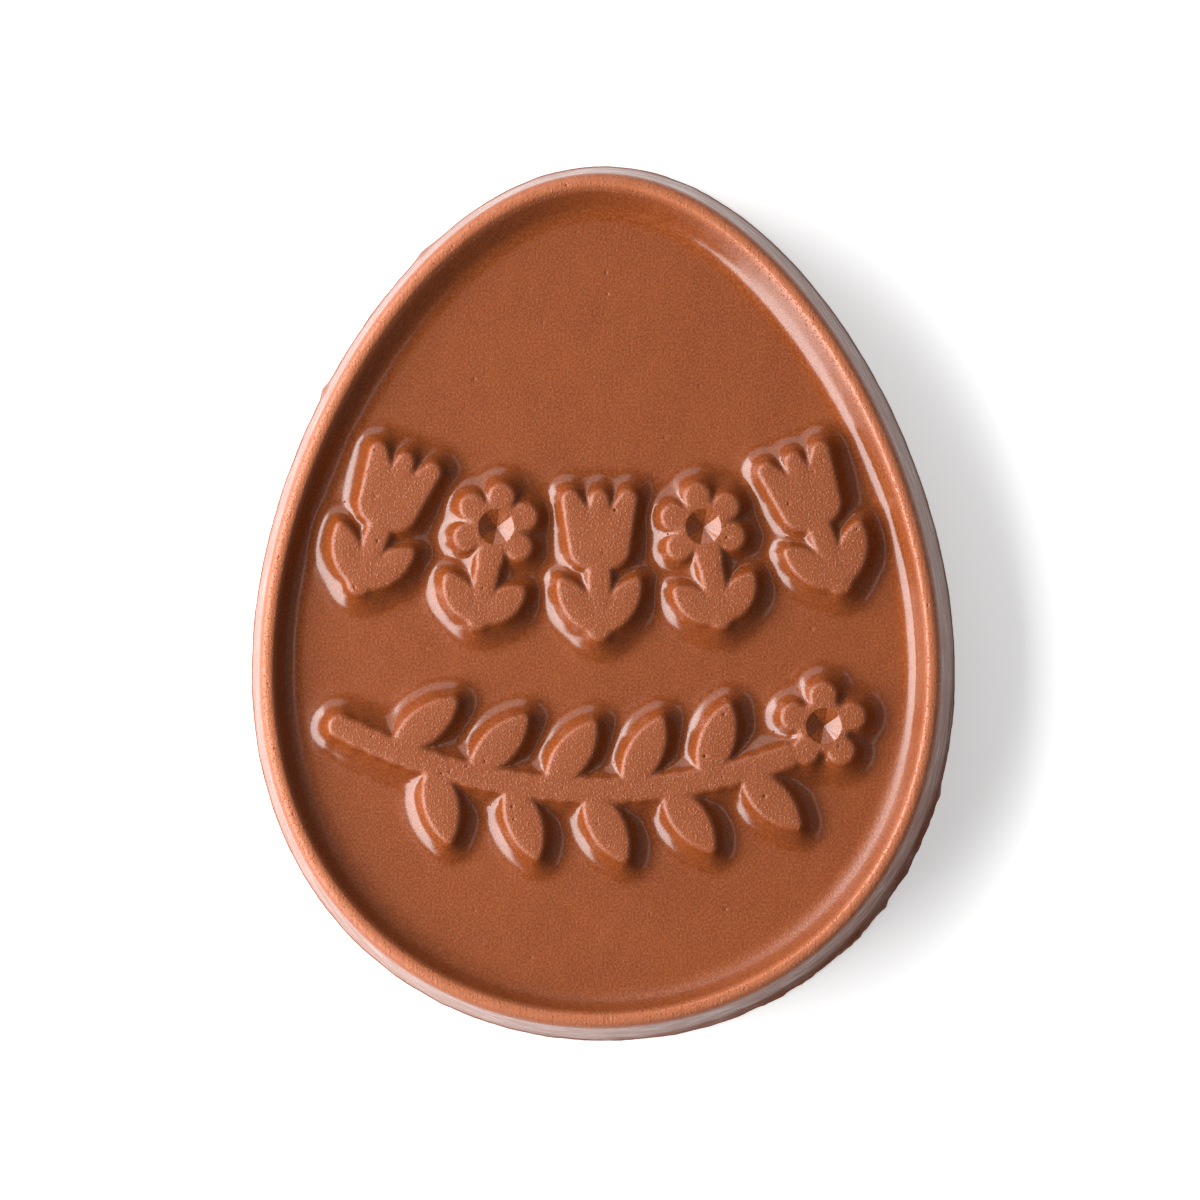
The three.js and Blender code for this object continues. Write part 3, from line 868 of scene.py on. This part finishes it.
def outer_wall(body, surface, rim, ring):
    """Adds the outer wall below a ring of vertices, ragged at its foot, and gives its last ring."""
    lean, back = rim.wall_lean / MM, rim.back_round / MM
    top = surface.section[0, 1]
    outline, normals = egg_outline(COLUMNS, surface.taper)
    x, y = outline[:, 0], outline[:, 1]
    bearing = np.degrees(np.arctan2(y, x))
    overrun = np.exp(-((bearing - LIP_BEARING) / LIP_SPREAD) ** 2)
    ragged = sum(swing * (LIP_LEAST_RAGGED + overrun) * waves(x, y, length, surface.seed + LIP_SEED + number)
                 for number, (length, swing) in enumerate(LIP_WAVES))
    heights = np.concatenate([np.linspace(top, FLASH_HEIGHT, WALL_ROWS + 1)[1:],
                              FLASH_HEIGHT * np.array(FLASH_ROWS)])
    for z in heights:
        below_step = ease(LIP_HEIGHT - z, 0, LIP_STEP)
        on_wall = ease(top - z, 0, WALL_START)
        lip = LIP_REACH * overrun + ragged + burrs_at(bearing, z)
        swell = waves(x + z, y - z, WALL_SWELL_LENGTH, surface.seed + WALL_SEED)
        swell *= WALL_SWELL * (1 + LIP_SWELL * overrun)
        inset = lean * max(z - back, 0) / (top - back) + back * max(1 - z / back, 0) ** 2
        inset += FLASH_REACH * on_wall * ease(z, FLASH_ROWS[0] * FLASH_HEIGHT, FLASH_HEIGHT)
        out = on_wall * (swell - LIP_UNDERCUT * overrun * (1 - below_step))
        out += below_step * lip * min(z / back, 1.0)
        points = np.clip(outline + (out - inset)[:, None] * normals, EGG_LOW[:2], EGG_HIGH[:2])
        poured = float(below_step) * np.clip(FOOT_POURED + overrun, 0, 1)
        poured = np.maximum(poured, on_wall * WALL_DRAG * (1 + overrun))
        # Painted shade: the outer wall's colour is darkened, partly the deeper look of its smooth skin.
        deepened_and_shaded = np.full(COLUMNS, OUTER_WALL_DEEPENING_AND_SHADE * float(on_wall))
        finish = np.column_stack([np.zeros(COLUMNS), WALL_POLISH * (1 - poured), poured, deepened_and_shaded])
        below = body.add(np.column_stack([points, np.full(COLUMNS, z)]), finish)
        body.band(ring, below)
        ring = below
    return ring


def poured_back(body, surface, ring):
    """Closes the body with its back, which sank a little as it set."""
    plan = Plan()
    plan.add(np.concatenate(body.blocks)[ring, :2], linked=True, closed=True)
    fill = hex_grid(EGG_LOW[:2], EGG_HIGH[:2], BACK_STEP)
    plan.add(fill[inset_of(fill, surface.taper)[0] > BACK_CLEARANCE])
    points, faces, own_ring = plan.triangles(COLUMNS)
    hollow = ease(inset_of(points, surface.taper)[0], *BACK_HOLLOW_REACH)
    uneven = 1 + BACK_WAVE * waves(points[:, 0], points[:, 1], BACK_WAVE_LENGTH, surface.seed + BACK_SEED)
    spots = np.column_stack([points, BACK_HOLLOW * hollow * np.clip(uneven, 0, 2)])
    inner = np.setdiff1d(np.arange(len(points)), own_ring)
    number = np.empty(len(points), dtype=int)
    number[own_ring] = ring
    number[inner] = body.add(spots[inner], np.tile([0.0, 0.0, 1.0, 0.0], (len(inner), 1)))
    body.faces += [tuple(int(number[i]) for i in reversed(face)) for face in faces]


def plaque_mesh(rim, relief_sizes, seed):
    """The whole plaque as one closed mesh, in metres."""
    surface = Surface(rim, Relief(relief_sizes), seed)
    body = Body()
    ring = upper_side(body, surface)
    ring = outer_wall(body, surface, rim, ring)
    poured_back(body, surface, ring)
    mesh = bpy.data.meshes.new("milk_chocolate_egg")
    points = np.concatenate(body.blocks)
    mesh.from_pydata((points * MM).tolist(), [], body.faces)
    for name, values in zip(FINISHES, np.concatenate(body.finishes).T):
        mesh.attributes.new(name, "FLOAT", "POINT").data.foreach_set("value", values.astype(np.float32))
    centres = np.empty(len(mesh.polygons) * 3, dtype=np.float32)
    mesh.polygons.foreach_get("center", centres)
    centres = centres.reshape(-1, 3)[:, :2] / MM
    smooth = np.ones(len(centres), dtype=bool)
    for pit in surface.relief.pits:
        smooth &= np.linalg.norm(centres - pit, axis=1) > PIT_RADIUS
    mesh.polygons.foreach_set("use_smooth", smooth)
    return mesh


# ---- Materials ----

MIX_A, MIX_B = 6, 7                    # colour sockets of a Mix node


def feed(tree, made, feeds):
    """Fills sockets of a node, each with a value, with another node's socket or with its first one in use."""
    for socket, source in feeds:
        if isinstance(source, bpy.types.Node):
            source = next(output for output in source.outputs if output.enabled)
        if isinstance(source, bpy.types.NodeSocket):
            tree.links.new(source, made.inputs[socket])
        else:
            made.inputs[socket].default_value = source


def node(tree, kind, feeds=(), **settings):
    """Adds a node with its settings, and fills its sockets."""
    made = tree.nodes.new(kind)
    for name, value in settings.items():
        if hasattr(made, name):
            setattr(made, name, value)
        else:
            made.inputs[name.replace("_", " ")].default_value = value
    feed(tree, made, feeds)
    return made


def chocolate_patterns(tree):
    """The uneven fields that colour, shine and fine relief share: clouds, grain, marks and scratches."""
    place = node(tree, "ShaderNodeTexCoord").outputs["Object"]
    across_marks = node(tree, "ShaderNodeMapping", [("Vector", place)],
                        Scale=[1 / (size * MM) for size in MARK_SIZE], Rotation=(0.0, 0.0, MARK_TURN))
    along_drags = node(tree, "ShaderNodeMapping", [("Vector", place)],
                       Scale=[1 / (size * MM) for size in DRAG_SIZE])
    clouds = node(tree, "ShaderNodeTexNoise", [("Vector", place)], Scale=1 / (CLOUD_SIZE * MM),
                  Detail=5.0, Roughness=0.6)
    grain = node(tree, "ShaderNodeTexNoise", [("Vector", place)], Scale=1 / (GRAIN_SIZE * MM), Detail=2.0)
    marks = node(tree, "ShaderNodeTexNoise", [("Vector", across_marks)], Scale=1.0, Detail=2.0)
    drags = node(tree, "ShaderNodeTexNoise", [("Vector", along_drags)], Scale=1.0, Detail=3.0)
    scratches = node(tree, "ShaderNodeMapRange", [("Value", drags)],
                     From_Min=DRAG_RANGE[0], From_Max=DRAG_RANGE[1], To_Min=1.0, To_Max=0.0)
    return clouds, grain, marks, scratches


def chocolate_colour(tree, look, skin, clouds, grain, marks):
    """Body with darker clouds and lighter grains, lighter where rubbed and painted with a sheen, and darker
    with painted shade on the smooth walls and hollows.
    """
    cloudy = node(tree, "ShaderNodeMapRange", [("Value", clouds)],
                  From_Min=CLOUD_RANGE[0], From_Max=CLOUD_RANGE[1], To_Min=0.0, To_Max=CLOUD_SHARE)
    grainy = node(tree, "ShaderNodeMapRange", [("Value", grain)],
                  From_Min=GRAIN_RANGE[0], From_Max=GRAIN_RANGE[1], To_Min=0.0, To_Max=GRAIN_SHARE)
    scuffs = node(tree, "ShaderNodeMapRange", [("Value", marks)],
                  From_Min=SCUFF_RANGE[0], From_Max=SCUFF_RANGE[1],
                  To_Min=SCUFF_SHARES[0], To_Max=SCUFF_SHARES[1])
    # Where the crown and tops are rubbed the colour turns lighter: real rubbing, and also a painted sheen.
    rubbed_share_and_sheen = node(tree, "ShaderNodeMath", [(0, scuffs), (1, skin["rubbed"])],
                   operation="MULTIPLY", use_clamp=True)
    # A smooth skin scatters less light at its surface, so the chocolate looks deeper there. The darker colour
    # on the walls and hollows is also painted shade.
    coats = [(cloudy, look.deep), (grainy, look.light), (rubbed_share_and_sheen, look.rubbed_colour_and_sheen),
             (skin["deepened_and_shaded"], look.glossy)]
    colour = look.body
    for share, laid_over in coats:
        colour = node(tree, "ShaderNodeMix", [("Factor", share), (MIX_A, colour), (MIX_B, laid_over)],
                      data_type="RGBA")
    return colour


def chocolate_roughness(tree, look, skin, grain, scratches):
    """Polished walls, satin flats, rubbed spots a little duller, and scratches matt where it was poured."""
    ragged_polish = node(tree, "ShaderNodeMath", [(0, grain), (1, GRAIN_IN_POLISH), (2, skin["polished"])],
                         operation="MULTIPLY_ADD")
    shine = node(tree, "ShaderNodeMapRange", [("Value", ragged_polish)],
                 From_Min=POLISH_RANGE[0], From_Max=POLISH_RANGE[1], To_Min=look.satin, To_Max=look.polish)
    worn = node(tree, "ShaderNodeMath", [(0, skin["rubbed"]), (1, RUBBED_ROUGHNESS), (2, shine)],
                operation="MULTIPLY_ADD")
    dragged = node(tree, "ShaderNodeMath", [(0, scratches), (1, skin["poured"])], operation="MULTIPLY")
    return node(tree, "ShaderNodeMath", [(0, dragged), (1, DRAGGED_ROUGHNESS), (2, worn)],
                operation="MULTIPLY_ADD")


def chocolate_relief(tree, skin, grain, marks, scratches):
    """Relief too fine for the mesh: grain, which fades where it is polished, marks, specks and scratches."""
    unpolished = node(tree, "ShaderNodeMapRange", [("Value", skin["polished"])],
                      From_Max=GRAIN_SUNK_AT, To_Min=1.0, To_Max=GRAIN_LEFT)
    specks = node(tree, "ShaderNodeMapRange", [("Value", grain)],
                  From_Min=SPECK_RANGE[0], From_Max=SPECK_RANGE[1])
    bared = node(tree, "ShaderNodeMapRange", [("Value", skin["rubbed"])], From_Max=BARED_AT)
    relief = node(tree, "ShaderNodeBump", [("Height", grain), ("Strength", unpolished)],
                  Distance=GRAIN_HEIGHT * MM)
    finer = [(marks, skin["rubbed"], MARK_HEIGHT), (specks, bared, SPECK_HEIGHT),
             (scratches, skin["poured"], DRAG_HEIGHT)]
    for pattern, share, height in finer:
        relief = node(tree, "ShaderNodeBump", [("Height", pattern), ("Strength", share), ("Normal", relief)],
                      Distance=height * MM)
    return relief


def milk_chocolate(look):
    """Milk chocolate cast in a polished mould.

    Its fat sets against the mould as a smooth skin, so walls and hollows shine like wax and the flats are
    satin. Cocoa and sugar grains give it a fine mottle. High spots are rubbed lighter in the pack, partly as
    a painted sheen, and the smooth walls and hollows are painted darker, partly as shade.
    """
    material = bpy.data.materials.new("milk_chocolate_cast_in_mould")
    material.use_nodes = True
    tree = material.node_tree
    skin = {name: node(tree, "ShaderNodeAttribute", attribute_name=name).outputs["Fac"] for name in FINISHES}
    clouds, grain, marks, scratches = chocolate_patterns(tree)
    feed(tree, tree.nodes["Principled BSDF"], [
        ("Base Color", chocolate_colour(tree, look, skin, clouds, grain, marks)),
        ("Roughness", chocolate_roughness(tree, look, skin, grain, scratches)),
        ("Normal", chocolate_relief(tree, skin, grain, marks, scratches)),
        ("IOR", COCOA_BUTTER_IOR),
        ("Subsurface Weight", SOAK_SHARE),
        ("Subsurface Radius", SOAK_COLOURS),
        ("Subsurface Scale", SOAK_DEPTH * MM),
    ])
    return material


def opal_acrylic(colour, glow):
    """Opal acrylic, cast as a sheet with a matt face and lit from below.

    It is an even white that softens shadows. The tooth of its face is 0.5 mm wide and 0.01 mm high.
    """
    material = bpy.data.materials.new("opal_acrylic_cast_matt")
    material.use_nodes = True
    tree = material.node_tree
    place = node(tree, "ShaderNodeTexCoord").outputs["Object"]
    tooth = node(tree, "ShaderNodeTexNoise", [("Vector", place)], Scale=1 / (0.5 * MM))
    feed(tree, tree.nodes["Principled BSDF"], [
        ("Base Color", colour),
        ("Roughness", 0.7),
        ("Emission Color", (1.0, 1.0, 1.0, 1.0)),
        ("Emission Strength", glow),
        ("Normal", node(tree, "ShaderNodeBump", [("Height", tooth)], Distance=0.01 * MM)),
    ])
    return material


# ---- Stage ----

def light_table(scene, stage):
    """A matt white table top that glows a little."""
    half = TABLE_SIZE / 2
    corners = [(-half, -half, 0), (half, -half, 0), (half, half, 0), (-half, half, 0)]
    mesh = bpy.data.meshes.new("table_top")
    mesh.from_pydata(corners, [], [(0, 1, 2, 3)])
    mesh.materials.append(opal_acrylic(stage.floor, stage.glow))
    table = bpy.data.objects.new("table_top", mesh)
    scene.collection.objects.link(table)


def soft_light(scene, name, azimuth, elevation, distance, size, power):
    """A rectangular light that faces the plaque from a bearing and a height, both in degrees."""
    data = bpy.data.lights.new(name, "AREA")
    data.shape = "RECTANGLE"
    data.size, data.size_y = size
    data.energy = power
    light = bpy.data.objects.new(name, data)
    turn, lift = math.radians(azimuth), math.radians(elevation)
    direction = Vector((math.cos(turn) * math.cos(lift), math.sin(turn) * math.cos(lift), math.sin(lift)))
    light.location = direction * distance
    light.rotation_euler = direction.to_track_quat("Z", "Y").to_euler()
    scene.collection.objects.link(light)


def studio_light(scene, stage):
    """A wide soft light low on the left, a strip and whitish cards on the right and beyond, and a dim room.
    """
    for name, (azimuth, elevation, distance, size, share) in LIGHTS.items():
        soft_light(scene, name, azimuth, elevation, distance, size, stage.key_power * share)
    world = bpy.data.worlds.new("dim_room")
    world.use_nodes = True
    background = world.node_tree.nodes["Background"]
    background.inputs["Color"].default_value = (1.0, 1.0, 1.0, 1.0)
    background.inputs["Strength"].default_value = stage.room
    scene.world = world


def overhead_camera(scene, stage):
    """A long lens almost straight above, leaning a little to the right and towards the blunt end."""
    data = bpy.data.cameras.new("overhead_camera")
    data.sensor_width = SENSOR_WIDTH
    data.lens = data.sensor_width * stage.camera_distance / stage.framed_height
    data.clip_start, data.clip_end = 0.01, 20.0
    data.shift_x, data.shift_y = LENS_SHIFT
    camera = bpy.data.objects.new("overhead_camera", data)
    away = Vector((math.tan(stage.lean_right), -math.tan(stage.lean_down), 1.0)).normalized()
    right = Vector((0.0, 1.0, 0.0)).cross(away).normalized()
    turned = Matrix((right, away.cross(right), away)).transposed().to_4x4()
    middle = Vector((0.0, 0.0, EGG_THICKNESS * MM / 2))
    camera.matrix_world = Matrix.Translation(middle + away * stage.camera_distance) @ turned
    scene.collection.objects.link(camera)
    scene.camera = camera


# ---- Operators and panel ----

class EGG_OT_cast_plaque(bpy.types.Operator):
    """Cast the chocolate egg in place of its plain solid"""
    bl_idname = "egg.cast_plaque"
    bl_label = "Cast Plaque"

    def execute(self, context):
        scene = context.scene
        mesh = plaque_mesh(scene.egg_rim, scene.egg_relief, scene.egg_look.seed)
        mesh.materials.append(milk_chocolate(scene.egg_look))
        plaque = bpy.data.objects.new("milk_chocolate_egg", mesh)
        scene.collection.objects.link(plaque)
        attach(plaque, "root")
        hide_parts(EGG_NODE)
        return {"FINISHED"}


class EGG_OT_set_stage(bpy.types.Operator):
    """Set the light table, the lights and the camera"""
    bl_idname = "egg.set_stage"
    bl_label = "Set Stage"

    def execute(self, context):
        scene = context.scene
        scene.view_settings.view_transform = "Standard"
        scene.view_settings.look = "None"
        light_table(scene, scene.egg_stage)
        studio_light(scene, scene.egg_stage)
        overhead_camera(scene, scene.egg_stage)
        return {"FINISHED"}


class EGG_PT_panel(bpy.types.Panel):
    """Lists the egg's operators and settings"""
    bl_label = "Chocolate Egg"
    bl_idname = "EGG_PT_panel"
    bl_space_type = "VIEW_3D"
    bl_region_type = "UI"
    bl_category = "Chocolate Egg"

    def draw(self, context):
        for operator in (EGG_OT_cast_plaque, EGG_OT_set_stage):
            self.layout.operator(operator.bl_idname)
        for name, group in SETTINGS.items():
            box = self.layout.box()
            for setting in group.__annotations__:
                box.prop(getattr(context.scene, name), setting)


SETTINGS = {"egg_rim": RimSizes, "egg_relief": ReliefSizes, "egg_look": ChocolateLook,
            "egg_stage": StageSettings}
CLASSES = (*SETTINGS.values(), EGG_OT_cast_plaque, EGG_OT_set_stage, EGG_PT_panel)


def register():
    for cls in CLASSES:
        bpy.utils.register_class(cls)
    for name, group in SETTINGS.items():
        setattr(bpy.types.Scene, name, PointerProperty(type=group))


def unregister():
    for name in SETTINGS:
        delattr(bpy.types.Scene, name)
    for cls in reversed(CLASSES):
        bpy.utils.unregister_class(cls)


def main():
    register()
    bpy.ops.egg.cast_plaque()
    bpy.ops.egg.set_stage()


if __name__ == "__main__":
    main()
